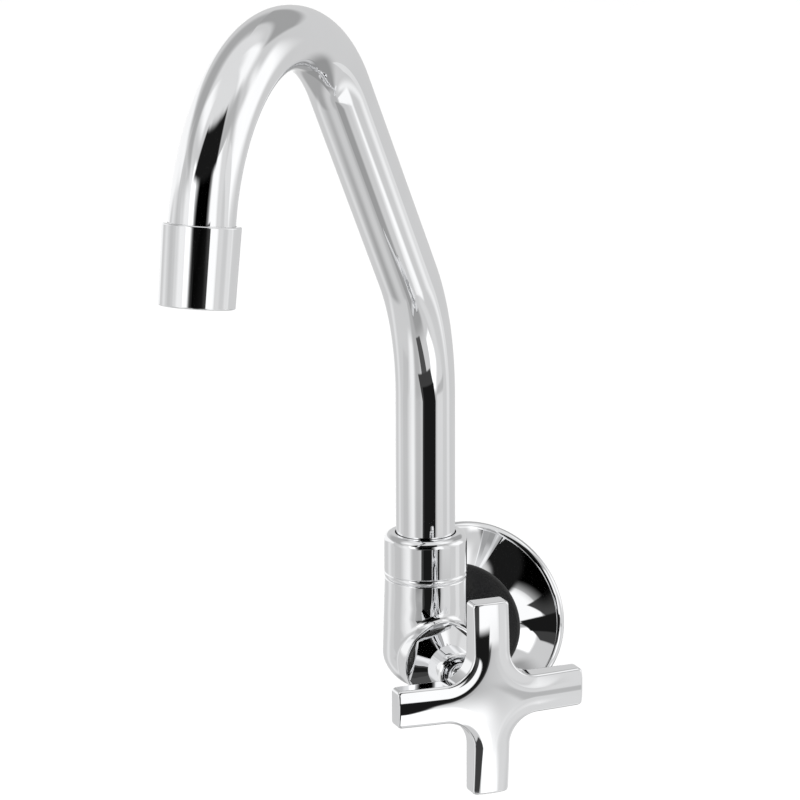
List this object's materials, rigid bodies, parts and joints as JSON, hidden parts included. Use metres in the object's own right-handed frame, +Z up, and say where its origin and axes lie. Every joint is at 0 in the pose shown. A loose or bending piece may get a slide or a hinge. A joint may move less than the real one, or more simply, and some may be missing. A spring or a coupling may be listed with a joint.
{
  "type": "wall-mounted kitchen tap",
  "caption": "Wall-mounted kitchen tap with a tall swivelling hooked spout, round wall flange, aerator outlet and an angled cross-handle valve.",
  "frame": {"origin": "on the inlet axis in the plane of the finished wall, at the start of the inlet thread", "axes": "+Y along the inlet into the wall, +Z up along the swivel axis's direction, +X to the right as seen from the room"},
  "size_m": [0.0967, 0.2447, 0.2702],
  "materials": {
    "chrome": "mirror-polished chrome plate",
    "black_rubber": "matt black rubber",
    "seal_rubber": "smooth black rubber",
    "brass": "turned brass",
    "ceramic": "ground white ceramic",
    "steel": "spring steel",
    "white_plastic": "white moulded plastic",
    "grey_plastic": "grey moulded plastic",
    "black_steel": "blackened steel"
  },
  "bodies": {
    "body": {"valve_body": "chrome", "wall_flange": "chrome", "flange_washer": "black_rubber", "spout_nut": "chrome", "slip_washer": "white_plastic", "bonnet": "chrome", "bonnet_washer": "seal_rubber", "seat_seal": "seal_rubber", "fixed_disc": "ceramic"},
    "spout": {"spout_tube": "chrome", "spout_base": "brass", "spout_seal_lower": "seal_rubber", "spout_seal_upper": "seal_rubber", "spout_clip": "steel", "outlet_ferrule": "brass", "aerator_shell": "chrome", "aerator_washer": "seal_rubber", "aerator_housing": "white_plastic", "aerator_diffuser": "white_plastic", "aerator_screens": "steel", "aerator_grid": "grey_plastic"},
    "stem": {"stem": "brass", "moving_disc": "ceramic", "stem_seal_inner": "seal_rubber", "stem_seal_outer": "seal_rubber", "stem_clip": "steel", "handle": "chrome", "handle_screw": "black_steel"}
  },
  "joints": [
    {"name": "spout_swivel", "type": "hinge", "parent": "body", "child": "spout", "pos_m": [0, -0.0455, 0], "axis": [0, 0, 1], "range_deg": [-100, 100]},
    {"name": "handle_turn", "type": "hinge", "parent": "body", "child": "stem", "pos_m": [0, -0.0455, 0], "axis": [0.7071, -0.7071, 0], "range_deg": [0, 90]}
  ]
}
